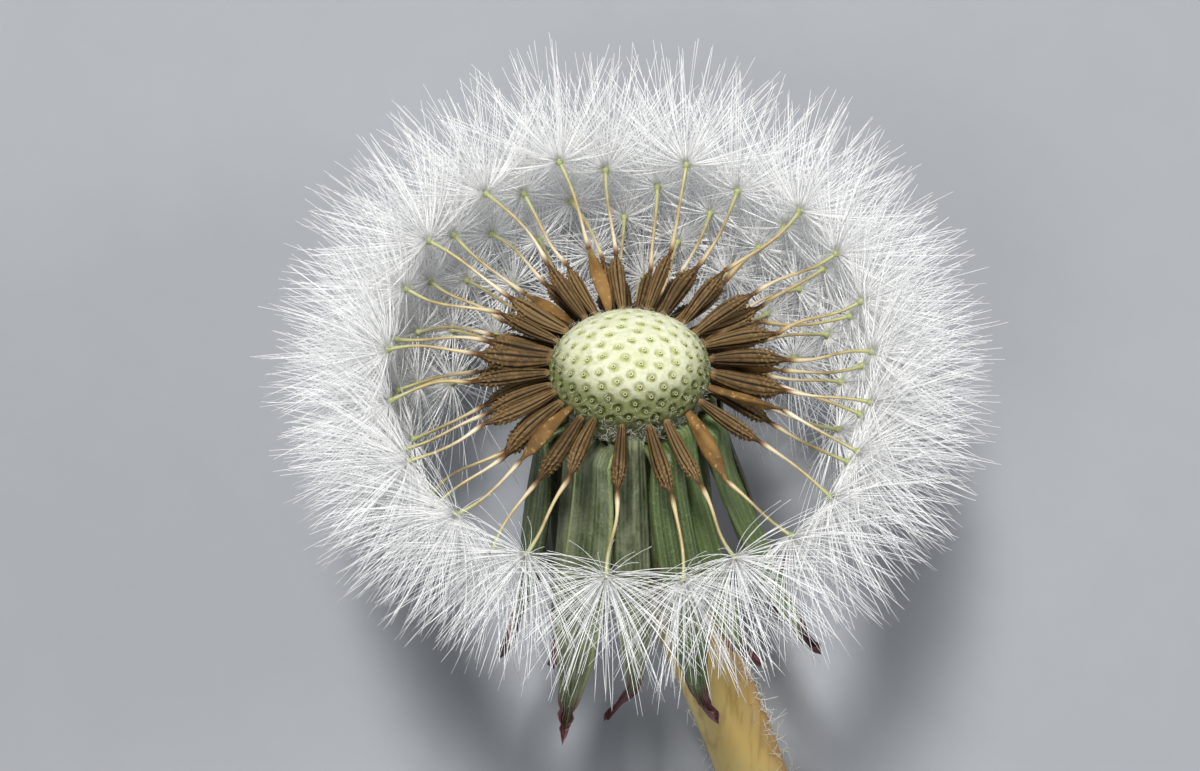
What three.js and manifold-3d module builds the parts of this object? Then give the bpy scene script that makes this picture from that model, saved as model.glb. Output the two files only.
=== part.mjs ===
// Dandelion seed head: a clock that has lost the seeds of its crown, picked and laid down.
//
// Millimetres, +Z up. The head has a frame of its own: its +Z runs from the stem out through the
// crown, and its -Y is its front, the side that faces up once the head lies down. The head group
// turns that frame about X and lifts it, so that the fluff and the cut end of the stem rest on the
// surface. Every seed, hair and bract is placed by a rule, and a seeded draw varies them.

import * as THREE from 'three';
import { ConvexGeometry } from 'three/addons/geometries/ConvexGeometry.js';
import { mergeVertices } from 'three/addons/utils/BufferGeometryUtils.js';
import Module from 'manifold-3d';

const wasm = await Module();
wasm.setup();

const degrees = THREE.MathUtils.degToRad;

// How the picked head lies
const HEAD_TILT = degrees(54);
const HEAD_HEIGHT = 21.3;
const GAP = 0.3;

// Receptacle: a flattened dome over a short tapering drum
const CROWN_RADIUS = 5.1;
const CROWN_RISE = 3.1;
const CROWN_DROP = 2.6;
const CROWN_EDGE = degrees(112);
const DRUM_RADIUS = 4.5;
const DRUM_TOP = -1.8;
const DRUM_WAIST = 4.05;
const DRUM_WAIST_Z = -2.8;
const DRUM_FOOT = 2.4;
const DRUM_FOOT_Z = -4;
const DRUM_SIDES = 20;

// Sockets, and the seeds that are left in them
const SOCKETS = 170;
const GOLDEN_ANGLE = Math.PI * (3 - Math.sqrt(5));
const SEED_SPREAD = degrees(124);
const BARE_TILT = degrees(27);
const BARE_REACH = degrees(88);
const SOCKET_RIM = 0.36;
const SOCKET_RIM_POINTS = 5;
const SOCKET_DEPTH = 0.32;
const SOCKET_LIP = 0.07;

// One seed: achene, cone and beak, as heights along it and radii
const ACHENE = [[-0.5, 0.16], [0.5, 0.3], [2.6, 0.52], [4.1, 0.3], [4.9, 0.15]];
const BEAK_RADIUS = 0.13;
const SEED_SIDES = 5;
const SEED_LENGTH = 10.1;
const SEED_LENGTH_BACK = 1.6;

// One parachute: a hub that bears straight hairs
const HUB_RADIUS = 0.32;
const HAIR_LENGTH = 8.4;
const HAIR_VARIATION = 0.12;
const HAIR_LEAST_ANGLE = degrees(12);
const HAIR_LEAN = 0.676;
const HAIR_CLEARANCE = 0.34;
const HAIR_TRIES = 14;
const HAIR_TURN = degrees(1.6);
const HAIR_ROOT = 0.9;
const HAIRY_FACES = degrees(120);
const SIDE_FACES = degrees(90);

// Bracts, which all hang back along the stem
const BRACT_THICKNESS = 0.6;
const BRACT_STATIONS = [0, 0.1, 0.26, 0.44, 0.62, 0.78, 0.9, 1];
const INNER_BRACTS = 16;
const OUTER_BRACTS = 12;
const FLARE_MEAN = degrees(10);
const FLARE_RIGHT = degrees(9);
const FLARE_FRONT = degrees(6.5);
const BRACTS_TOP = -3;
const BRACTS_END = -26;
const BRACTS_OUTSIDE = 7.4;
const BRACTS_SPREAD = degrees(3);

// Stem: a hollow tube that leaves the head along its axis and ends lying on the surface
const STEM_RADIUS = 2.4;
const STEM_WALL = 0.8;
const STEM_SIDES = 12;
const STEM_STEPS = 9;
const STEM_END = new THREE.Vector3(9.5, -31, STEM_RADIUS);
const STEM_END_HANDLE = new THREE.Vector3(7.5, -22, STEM_RADIUS);
const STEM_TOP_HANDLE = 9;

const UP = new THREE.Vector3(0, -Math.sin(HEAD_TILT), Math.cos(HEAD_TILT));
const AXIS = new THREE.Vector3(0, 0, 1);

/** A fixed draw between 0 and 1 for item `i`, trait `trait`. */
function draw(i, trait) {
  const wave = Math.sin(i * 12.9898 + trait * 78.233) * 43758.5453;
  return wave - Math.floor(wave);
}

function direction(polar, azimuth) {
  const ring = Math.sin(polar);
  return new THREE.Vector3(ring * Math.cos(azimuth), ring * Math.sin(azimuth), Math.cos(polar));
}

function heightAboveSurface(point) {
  return HEAD_HEIGHT + point.dot(UP);
}

// ---------- meshes and solids ----------

function meshData(vertices, triangles) {
  const geometry = new THREE.BufferGeometry();
  const positions = vertices.flatMap((v) => [v.x, v.y, v.z]);
  geometry.setAttribute('position', new THREE.Float32BufferAttribute(positions, 3));
  geometry.setIndex(triangles.flat());
  return geometry;
}

function toSolid(geometry) {
  geometry.deleteAttribute('normal');
  geometry.deleteAttribute('uv');
  const merged = mergeVertices(geometry, 1e-5);
  return new wasm.Manifold(new wasm.Mesh({
    numProp: 3,
    vertProperties: Float32Array.from(merged.attributes.position.array),
    triVerts: Uint32Array.from(merged.index.array),
  }));
}

function toGeometry(solid) {
  const { numProp, vertProperties, triVerts } = solid.getMesh();
  const geometry = new THREE.BufferGeometry();
  const data = new THREE.InterleavedBuffer(vertProperties, numProp);
  geometry.setAttribute('position', new THREE.InterleavedBufferAttribute(data, 3, 0));
  geometry.setIndex([...triVerts]);
  geometry.computeVertexNormals();
  return geometry;
}

/** Joins rings of equally many vertices into one closed skin; `lid` triangulates a ring. */
function skin(rings, lid) {
  const count = rings[0].length;
  const triangles = [];
  for (let row = 0; row + 1 < rings.length; row++) {
    for (let i = 0; i < count; i++) {
      const a = row * count + i;
      const b = row * count + ((i + 1) % count);
      triangles.push([a, b, b + count], [a, b + count, a + count]);
    }
  }
  const last = (rings.length - 1) * count;
  triangles.push(...lid.map(([a, b, c]) => [c, b, a]));
  triangles.push(...lid.map(([a, b, c]) => [last + a, last + b, last + c]));
  return meshData(rings.flat(), triangles);
}

function fan(count) {
  return Array.from({ length: count - 2 }, (_, i) => [0, i + 1, i + 2]);
}

// ---------- seeds: where each one stands ----------

function crownPoint(angle, azimuth) {
  const point = direction(angle, azimuth);
  const rise = point.z > 0 ? CROWN_RISE : CROWN_DROP;
  return point.multiply(new THREE.Vector3(CROWN_RADIUS, CROWN_RADIUS, rise));
}

function crownNormal(point) {
  const rise = point.z > 0 ? CROWN_RISE : CROWN_DROP;
  const scale = new THREE.Vector3(CROWN_RADIUS, CROWN_RADIUS, rise);
  return point.clone().divide(scale).divide(scale).normalize();
}

/** Sockets along the golden-angle spiral, from the middle of the crown out to its edge. */
function crownSockets() {
  const bareCentre = direction(BARE_TILT, -Math.PI / 2);
  return Array.from({ length: SOCKETS }, (_, index) => {
    const share = (index + 0.5) / SOCKETS;
    const polar = Math.acos(1 - share * (1 - Math.cos(SEED_SPREAD)));
    const azimuth = index * GOLDEN_ANGLE;
    const way = direction(polar, azimuth);
    const root = crownPoint((polar * CROWN_EDGE) / SEED_SPREAD, azimuth);
    const length = SEED_LENGTH + SEED_LENGTH_BACK * Math.max(0, way.y);
    const hub = root.clone().addScaledVector(way, length);
    return { index, way, root, length, hub, bare: way.angleTo(bareCentre) < BARE_REACH };
  });
}

// ---------- receptacle, with its achenes and beaks ----------

function rimPoints(socket) {
  const normal = crownNormal(socket.root);
  const side = new THREE.Vector3().crossVectors(normal, AXIS).normalize();
  const spin = draw(socket.index, 1) * 2 * Math.PI;
  return Array.from({ length: SOCKET_RIM_POINTS }, (_, i) => {
    const turn = spin + (i * 2 * Math.PI) / SOCKET_RIM_POINTS;
    const offset = side.clone().applyAxisAngle(normal, turn).multiplyScalar(SOCKET_RIM);
    const near = socket.root.clone().add(offset);
    const rise = near.z > 0 ? CROWN_RISE : CROWN_DROP;
    const scale = new THREE.Vector3(CROWN_RADIUS, CROWN_RADIUS, rise);
    return near.divide(scale).normalize().multiply(scale);
  });
}

function drumPoints() {
  const rings = [
    [DRUM_RADIUS, DRUM_TOP],
    [DRUM_WAIST, DRUM_WAIST_Z],
    [DRUM_FOOT, DRUM_FOOT_Z],
  ];
  return rings.flatMap(([radius, z]) => Array.from({ length: DRUM_SIDES }, (_, i) => {
    const turn = (i * 2 * Math.PI) / DRUM_SIDES;
    return new THREE.Vector3(radius * Math.cos(turn), radius * Math.sin(turn), z);
  }));
}

/** Sinks a pit at a bare socket's centre and raises a lip round it. */
function carveSockets(geometry, bareSockets) {
  const position = geometry.attributes.position;
  const point = new THREE.Vector3();
  for (let i = 0; i < position.count; i++) {
    point.fromBufferAttribute(position, i);
    if (point.z < DRUM_TOP + 0.2) continue;
    const away = Math.min(...bareSockets.map((socket) => socket.root.distanceTo(point)));
    const pit = away < SOCKET_RIM / 2 ? -SOCKET_DEPTH : 0;
    const lip = Math.abs(away - SOCKET_RIM) < SOCKET_RIM / 4 ? SOCKET_LIP : 0;
    point.addScaledVector(crownNormal(point), pit + lip);
    position.setXYZ(i, point.x, point.y, point.z);
  }
}

function crownSolid(sockets) {
  const bareSockets = sockets.filter((socket) => socket.bare);
  const centres = sockets.map((socket) => socket.root);
  const rims = bareSockets.flatMap(rimPoints);
  const geometry = new ConvexGeometry([...centres, ...rims, ...drumPoints()]);
  carveSockets(geometry, bareSockets);
  return toSolid(geometry);
}

function seedSolid(socket) {
  const beakEnd = socket.length - HUB_RADIUS - GAP;
  const profile = [...ACHENE, [beakEnd, BEAK_RADIUS]];
  const spin = draw(socket.index, 2) * 2 * Math.PI;
  const turn = new THREE.Quaternion().setFromUnitVectors(AXIS, socket.way);
  const rings = profile.map(([height, radius]) => Array.from({ length: SEED_SIDES }, (_, i) => {
    const angle = spin + (i * 2 * Math.PI) / SEED_SIDES;
    const point = new THREE.Vector3(radius * Math.cos(angle), radius * Math.sin(angle), height);
    return point.applyQuaternion(turn).add(socket.root);
  }));
  return toSolid(skin(rings, fan(SEED_SIDES)));
}

function receptacleGeometry(sockets, seeds) {
  let solid = crownSolid(sockets);
  for (const seed of seeds) {
    solid = solid.add(seedSolid(seed));
  }
  return toGeometry(solid);
}

// ---------- bracts ----------

/** How far the bracts at an azimuth lean out from the stem. */
function flareAt(azimuth) {
  return FLARE_MEAN + FLARE_RIGHT * Math.cos(azimuth) - FLARE_FRONT * Math.sin(azimuth);
}

function bractWidth(width, share) {
  const swell = Math.sin(Math.PI * (0.22 + 0.78 * share));
  return width * (0.15 + 0.85 * Math.max(0, swell) ** 0.8);
}

/** The middle line of a bract, as radius, height and lean at each station. */
function bractLine({ radius, top, length, flare, curl }) {
  const leanAt = (share) => flare * THREE.MathUtils.smoothstep(share, -0.1, 0.3)
    + curl * THREE.MathUtils.smoothstep(share, 0.72, 1);
  const line = [{ radius, z: top, lean: leanAt(0) }];
  for (let i = 1; i < BRACT_STATIONS.length; i++) {
    const [before, share] = [BRACT_STATIONS[i - 1], BRACT_STATIONS[i]];
    const step = (share - before) * length;
    const lean = leanAt((before + share) / 2);
    const { radius: r, z } = line[i - 1];
    line.push({ radius: r + step * Math.sin(lean), z: z - step * Math.cos(lean), lean: leanAt(share) });
  }
  return line;
}

/** A bract: a tapering strip bent round the head's axis, with its margins rolled by `roll`. */
function bractGeometry(bract) {
  const rings = bractLine(bract).map(({ radius, z, lean }, station) => {
    const share = BRACT_STATIONS[station];
    const halfAngle = bractWidth(bract.width, share) / 2 / radius;
    const azimuth = bract.azimuth + bract.sway * share ** 2;
    const corner = (across, side) => {
      const lift = (side * BRACT_THICKNESS) / 2 + bract.roll * across ** 2;
      const r = radius + lift * Math.cos(lean);
      const turn = azimuth + across * halfAngle;
      return new THREE.Vector3(r * Math.cos(turn), r * Math.sin(turn), z + lift * Math.sin(lean));
    };
    return [corner(1, 1), corner(0, 1), corner(-1, 1), corner(-1, -1), corner(0, -1), corner(1, -1)];
  });
  return skin(rings, [[0, 1, 5], [1, 4, 5], [1, 2, 4], [2, 3, 4]]);
}

function innerBract(index) {
  const layer = index % 2;
  const azimuth = (index * 2 * Math.PI) / INNER_BRACTS;
  const vary = draw(index, 5);
  const clearOfSurface = (1 - Math.sin(azimuth)) / 2;
  return {
    azimuth,
    radius: layer ? 5.95 : 4.95,
    top: layer ? -3.2 : -2.35,
    length: 17 + (0.5 + 3 * draw(index, 3)) * clearOfSurface,
    width: layer ? 3.2 : 3,
    flare: flareAt(azimuth) + degrees(layer ? 1 + 2 * vary : -2 * vary),
    curl: degrees(layer ? 25 + 45 * draw(index, 4) : -10 - 15 * draw(index, 4)) * clearOfSurface,
    sway: degrees(8 * (draw(index, 6) - 0.5)),
    roll: layer ? 0.12 : -0.12,
  };
}

function outerBract(index) {
  const azimuth = ((index + 0.5) * 2 * Math.PI) / OUTER_BRACTS;
  return {
    azimuth,
    radius: 3.4,
    top: -3.85,
    length: 6.5 + 4 * draw(index, 7),
    width: 1.35,
    flare: 0.6 * flareAt(azimuth),
    curl: 0,
    sway: 0,
    roll: 0,
  };
}

// ---------- pappus: one parachute of hairs on each seed ----------

/** Links each parachute to its nearest neighbour already linked, so that all hang together. */
function linkParachutes(seeds) {
  const linked = [{ seed: seeds[0], parent: null }];
  const waiting = new Set(seeds.slice(1));
  while (waiting.size) {
    let best = { gap: Infinity };
    for (const seed of waiting) {
      for (const { seed: parent } of linked) {
        const gap = seed.hub.distanceTo(parent.hub);
        if (gap < best.gap) best = { gap, seed, parent };
      }
    }
    linked.push(best);
    waiting.delete(best.seed);
  }
  return linked;
}

/** The hub: an icosahedron with one face square on the beak, as faces in the hub's own frame. */
function hubFaces() {
  const geometry = new THREE.IcosahedronGeometry(HUB_RADIUS, 0);
  const position = geometry.attributes.position;
  const corner = (i) => new THREE.Vector3().fromBufferAttribute(position, i);
  const faces = Array.from({ length: position.count / 3 }, (_, face) => (
    [corner(3 * face), corner(3 * face + 1), corner(3 * face + 2)]
  ));
  const middle = (face) => face[0].clone().add(face[1]).add(face[2]).normalize();
  const toBeak = new THREE.Quaternion().setFromUnitVectors(middle(faces[0]), AXIS.clone().negate());
  return faces.map((face) => {
    const corners = face.map((point) => point.clone().applyQuaternion(toBeak));
    const centre = middle(corners);
    return { corners, polar: centre.angleTo(AXIS), azimuth: Math.atan2(centre.y, centre.x) };
  });
}

function distanceBetween([p, q], [r, s]) {
  const d1 = q.clone().sub(p);
  const d2 = s.clone().sub(r);
  const from = p.clone().sub(r);
  const [a, b, c] = [d1.dot(d1), d1.dot(d2), d2.dot(d2)];
  const [d, e] = [d1.dot(from), d2.dot(from)];
  const clamp = (value) => THREE.MathUtils.clamp(value, 0, 1);
  const bend = a * c - b * b;
  let t = bend > 1e-9 ? clamp((b * e - c * d) / bend) : 0;
  const u = clamp((b * t + e) / c);
  t = clamp((b * u - d) / a);
  return from.addScaledVector(d1, t).addScaledVector(d2, -u).length();
}

/** Radius round the head's axis that hairs keep outside of, at a point's height and azimuth. */
function bractEnvelope(point) {
  if (point.z < BRACTS_END) return 0;
  const drop = Math.max(0, BRACTS_TOP - point.z);
  const flare = flareAt(Math.atan2(point.y, point.x)) + BRACTS_SPREAD;
  return BRACTS_OUTSIDE + drop * Math.tan(flare);
}

/** Moves a hair's tip out of the bracts and up to the surface, and keeps it within its length. */
function seatTip(hub, way, length) {
  const tip = hub.clone().addScaledVector(way, length);
  const round = Math.hypot(tip.x, tip.y);
  const least = bractEnvelope(tip);
  if (tip.z < 0 && round < least) {
    tip.x *= least / round;
    tip.y *= least / round;
    tip.sub(hub).clampLength(0, length).add(hub);
  }
  const height = heightAboveSurface(tip);
  if (height < 0) {
    const along = tip.clone().sub(hub).projectOnPlane(UP).normalize();
    const hubHeight = heightAboveSurface(hub);
    const reach = Math.sqrt(length ** 2 - hubHeight ** 2);
    tip.copy(hub).addScaledVector(UP, -hubHeight).addScaledVector(along, reach);
  }
  return tip;
}

/** One seed's parachute: its hub in place, and where each of its hairs is meant to point. */
function planParachute({ seed, parent }, faces) {
  const stand = new THREE.Quaternion().setFromUnitVectors(AXIS, seed.way);
  const lay = (vector) => vector.clone().applyQuaternion(stand);
  const linkFace = faces.find((face) => face.polar > SIDE_FACES && face.polar < HAIRY_FACES);
  const link = parent ? parent.hub.clone().sub(seed.hub).normalize() : null;
  const local = link ? link.clone().applyQuaternion(stand.clone().invert()) : null;
  const spin = local ? Math.atan2(local.y, local.x) - linkFace.azimuth : 0;
  const turned = new THREE.Quaternion().setFromAxisAngle(AXIS, spin);
  return faces.map((face) => {
    const corners = face.corners.map((point) => lay(point.clone().applyQuaternion(turned)).add(seed.hub));
    const polar = HAIR_LEAST_ANGLE + HAIR_LEAN * face.polar;
    return {
      corners,
      seed,
      bearsHair: face.polar < HAIRY_FACES,
      way: face === linkFace ? link : null,
      aim: (dPolar, dAzimuth) => lay(direction(polar + dPolar, face.azimuth + spin + dAzimuth)),
    };
  });
}

/** Picks each hair's direction: the nearest to its own that stays clear of all placed hairs. */
function settleHairs(plans, seeds) {
  const hairs = plans.flat().filter((face) => face.bearsHair);
  const placed = seeds.map((seed) => ({ seed, line: [seed.root, seed.hub] }));
  const lineOf = (hair, tip) => {
    const root = hair.seed.hub.clone().lerp(tip, HAIR_ROOT / tip.distanceTo(hair.seed.hub));
    return [root, tip];
  };
  const place = (hair, tip) => {
    hair.tip = tip;
    placed.push({ seed: hair.seed, line: lineOf(hair, tip) });
  };
  const lengthOf = (i) => HAIR_LENGTH * (1 - HAIR_VARIATION * draw(i, 8));
  hairs.forEach((hair, i) => {
    if (hair.way) place(hair, seatTip(hair.seed.hub, hair.way, lengthOf(i)));
  });
  hairs.forEach((hair, i) => {
    if (hair.way) return;
    const others = placed.filter((item) => item.seed !== hair.seed);
    let best = { clear: -1 };
    for (let attempt = 0; attempt < HAIR_TRIES && best.clear < HAIR_CLEARANCE; attempt++) {
      const [turn, angle] = [attempt * HAIR_TURN, attempt * GOLDEN_ANGLE];
      const way = hair.aim(turn * Math.cos(angle), 1.5 * turn * Math.sin(angle));
      const tip = seatTip(hair.seed.hub, way, lengthOf(i));
      const line = lineOf(hair, tip);
      const clear = Math.min(...others.map((item) => distanceBetween(line, item.line)));
      if (clear > best.clear) best = { clear, tip };
    }
    place(hair, best.tip);
  });
}

function parachuteSolid(faces) {
  const vertices = [];
  const triangles = [];
  for (const { corners, tip } of faces) {
    const first = vertices.length;
    vertices.push(...corners);
    if (tip) {
      vertices.push(tip);
      triangles.push([first, first + 1, first + 3], [first + 1, first + 2, first + 3]);
      triangles.push([first + 2, first, first + 3]);
    } else {
      triangles.push([first, first + 1, first + 2]);
    }
  }
  return toSolid(meshData(vertices, triangles));
}

function pappusGeometry(seeds) {
  const faces = hubFaces();
  const plans = linkParachutes(seeds).map((link) => planParachute(link, faces));
  settleHairs(plans, seeds);
  const solids = plans.map(parachuteSolid);
  return toGeometry(solids.reduce((whole, solid) => whole.add(solid)));
}

// ---------- stem ----------

function stemGeometry() {
  const axis = AXIS.clone().applyAxisAngle(new THREE.Vector3(1, 0, 0), -HEAD_TILT);
  const top = new THREE.Vector3(0, 0, HEAD_HEIGHT).addScaledVector(axis, DRUM_FOOT_Z - GAP);
  const topHandle = top.clone().addScaledVector(axis, -STEM_TOP_HANDLE);
  const path = new THREE.CubicBezierCurve3(top, topHandle, STEM_END_HANDLE, STEM_END);
  const section = new THREE.Shape(ringPoints(STEM_RADIUS));
  section.holes.push(new THREE.Path(ringPoints(STEM_RADIUS - STEM_WALL)));
  return new THREE.ExtrudeGeometry(section, { steps: STEM_STEPS, extrudePath: path });
}

function ringPoints(radius) {
  return Array.from({ length: STEM_SIDES }, (_, i) => {
    const turn = (i * 2 * Math.PI) / STEM_SIDES;
    return new THREE.Vector2(radius * Math.cos(turn), radius * Math.sin(turn));
  });
}

// ---------- the whole head ----------

function piece(name, geometry, color, roughness) {
  const material = new THREE.MeshStandardMaterial({ color, roughness, metalness: 0 });
  const mesh = new THREE.Mesh(geometry, material);
  mesh.name = name;
  return mesh;
}

function numbered(stem, index) {
  return `${stem}_${String(index + 1).padStart(2, '0')}`;
}

function buildHead() {
  const sockets = crownSockets();
  const seeds = sockets.filter((socket) => !socket.bare);
  const head = new THREE.Group();
  head.add(piece('receptacle_with_achenes', receptacleGeometry(sockets, seeds), 0xb9c48a, 0.7));
  head.add(piece('pappus', pappusGeometry(seeds), 0xf2f2ee, 0.6));
  for (let i = 0; i < INNER_BRACTS; i++) {
    head.add(piece(numbered('inner_bract', i), bractGeometry(innerBract(i)), 0x5f7a4a, 0.65));
  }
  for (let i = 0; i < OUTER_BRACTS; i++) {
    head.add(piece(numbered('outer_bract', i), bractGeometry(outerBract(i)), 0x54693f, 0.65));
  }
  head.rotation.x = -HEAD_TILT;
  head.position.z = HEAD_HEIGHT;
  return head;
}

/** Puts the origin at the middle of the box's underside, on the surface. */
function setDown(group) {
  group.updateMatrixWorld(true);
  const box = new THREE.Box3().setFromObject(group, true);
  const middle = box.getCenter(new THREE.Vector3());
  group.position.set(-middle.x, -middle.y, -box.min.z);
}

const dandelion = new THREE.Group();
dandelion.add(buildHead());
dandelion.add(piece('stem', stemGeometry(), 0xc39a4e, 0.5));
setDown(dandelion);

export default dandelion;
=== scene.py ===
"""Dandelion seed head: grows the fine surface of a picked dandelion clock round its CAD frame.

Lengths are in metres. The head has a frame of its own, whose +Z runs from the stem out through the
crown and whose -Y is its front; HEAD turns that frame to where the CAD head lies.
"""

import math

import bmesh
import bpy
import numpy as np
from bpy.props import FloatProperty, FloatVectorProperty, IntProperty, PointerProperty
from mathutils import Matrix, Vector


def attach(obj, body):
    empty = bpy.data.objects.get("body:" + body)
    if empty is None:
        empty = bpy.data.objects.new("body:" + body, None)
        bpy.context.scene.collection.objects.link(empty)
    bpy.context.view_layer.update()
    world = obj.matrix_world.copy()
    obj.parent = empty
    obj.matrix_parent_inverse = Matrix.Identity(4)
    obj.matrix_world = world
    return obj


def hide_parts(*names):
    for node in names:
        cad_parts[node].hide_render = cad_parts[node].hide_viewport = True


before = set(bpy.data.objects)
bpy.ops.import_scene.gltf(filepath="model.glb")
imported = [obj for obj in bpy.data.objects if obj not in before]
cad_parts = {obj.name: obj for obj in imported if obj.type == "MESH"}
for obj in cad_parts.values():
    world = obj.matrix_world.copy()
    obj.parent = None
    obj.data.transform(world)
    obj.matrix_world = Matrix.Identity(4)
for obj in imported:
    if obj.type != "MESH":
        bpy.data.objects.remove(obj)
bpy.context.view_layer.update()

bl_info = {
    "name": "Dandelion seed head",
    "version": (1, 0, 0),
    "blender": (4, 5, 0),
    "location": "View3D > Sidebar > Dandelion",
    "description": "Grows a ripe dandelion clock with its achenes, parachutes, bracts and stem",
    "category": "Add Mesh",
}

MM = 0.001
BODY = "root"
GOLDEN_ANGLE = math.pi * (3 - math.sqrt(5))

# How the head lies
HEAD_TILT = math.radians(54)
STEM_TOP_Z = -4.3 * MM

# Crown, drum and sockets
CROWN_RADIUS = 5.1 * MM
CROWN_RISE = 3.1 * MM
CROWN_DROP = 2.6 * MM
CROWN_EDGE = math.radians(112)
DRUM = ((4.5 * MM, -1.8 * MM), (4.05 * MM, -2.8 * MM), (2.4 * MM, -4.0 * MM), (0, -4.0 * MM))
SOCKETS = 170
SEED_SPREAD = math.radians(124)
BARE_TILT = math.radians(27)
BARE_REACH = math.radians(88)

# Seeds
ACHENE_LENGTH = 4.9 * MM
SEED_LENGTH = 10.1 * MM
SEED_LENGTH_BACK = 1.6 * MM

# Bracts
INNER_BRACTS = 16
OUTER_BRACTS = 12
FLARE_MEAN = math.radians(10)
FLARE_RIGHT = math.radians(9)
FLARE_FRONT = math.radians(6.5)

# Stem route, from the head's centre
STEM_RADIUS = 2.4 * MM
STEM_WALL = 0.8 * MM
STEM_TOP_HANDLE = 9 * MM
STEM_END = (9.5 * MM, -31 * MM)
STEM_END_HANDLE = (7.5 * MM, -22 * MM)

HEAD_AXIS = Vector((0, math.sin(HEAD_TILT), math.cos(HEAD_TILT)))


# ---------------------------------------------------------------- rules shared with the CAD head

def draw(item, trait):
    """A fixed draw between 0 and 1 for an item's trait."""
    wave = math.sin(item * 12.9898 + trait * 78.233) * 43758.5453
    return wave - math.floor(wave)


def spread(item, trait):
    """A fixed draw between -1 and 1."""
    return 2 * draw(item, trait) - 1


def direction(polar, azimuth):
    ring = math.sin(polar)
    return Vector((ring * math.cos(azimuth), ring * math.sin(azimuth), math.cos(polar)))


def smoothstep(value, low, high):
    share = min(1.0, max(0.0, (value - low) / (high - low)))
    return share * share * (3 - 2 * share)


def head_centre():
    """The head's centre, found from the middle of the stem's top face."""
    points = np.array([v.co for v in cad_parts["stem"].data.vertices])
    along = points @ np.array(HEAD_AXIS)
    face = points[along > along.max() - 0.01 * MM]
    middle = (face.min(0) + face.max(0)) / 2
    return Vector(middle) - HEAD_AXIS * STEM_TOP_Z


HEAD_CENTRE = head_centre()
HEAD = Matrix.Translation(HEAD_CENTRE) @ Matrix.Rotation(-HEAD_TILT, 4, "X")
TURN = HEAD.to_3x3()


def crown_point(angle, azimuth):
    point = direction(angle, azimuth)
    rise = CROWN_RISE if point.z > 0 else CROWN_DROP
    return Vector((point.x * CROWN_RADIUS, point.y * CROWN_RADIUS, point.z * rise))


def crown_normal(point):
    rise = CROWN_RISE if point.z > 0 else CROWN_DROP
    across = CROWN_RADIUS ** 2
    return Vector((point.x / across, point.y / across, point.z / rise ** 2)).normalized()


class Socket:
    """One socket of the crown, with the seed that stands in it unless it is bare."""

    def __init__(self, index):
        share = (index + 0.5) / SOCKETS
        polar = math.acos(1 - share * (1 - math.cos(SEED_SPREAD)))
        azimuth = index * GOLDEN_ANGLE
        way = direction(polar, azimuth)
        root = crown_point(polar * CROWN_EDGE / SEED_SPREAD, azimuth)
        length = SEED_LENGTH + SEED_LENGTH_BACK * max(0, way.y)
        self.index = index
        self.bare = way.angle(direction(BARE_TILT, -math.pi / 2)) < BARE_REACH
        self.normal = TURN @ crown_normal(root)
        self.way = TURN @ way
        self.root = HEAD @ root
        self.hub = HEAD @ (root + way * length)


ALL_SOCKETS = [Socket(index) for index in range(SOCKETS)]
BARE_SOCKETS = [socket for socket in ALL_SOCKETS if socket.bare]
SEEDS = [socket for socket in ALL_SOCKETS if not socket.bare]


# ---------------------------------------------------------------- settings

def distance(name, description, default):
    return FloatProperty(
        name=name, description=description, default=default, unit="LENGTH", precision=5)


def colour(name, description, default):
    return FloatVectorProperty(
        name=name, description=description, default=default, subtype="COLOR", min=0, max=1, size=3)


class DandelionSizes(bpy.types.PropertyGroup):
    """Sizes that change how full and how fine the head looks."""

    hairs: IntProperty(
        name="Hairs", description="Hairs in each parachute", default=136, min=12, max=150)
    hair_length: distance("Hair length", "Length of the longest hairs", 8.4 * MM)
    hair_thickness: distance("Hair thickness", "Width of a hair where it is thickest", 0.056 * MM)
    socket_depth: distance("Socket depth", "Depth of the pits in the crown", 0.31 * MM)
    achene_tilt: FloatProperty(
        name="Achene tilt", description="Most that an achene leans from its beak",
        default=math.radians(11), subtype="ANGLE")
    beak_bow: distance("Beak bow", "Most that a beak bows to one side", 0.55 * MM)


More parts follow.
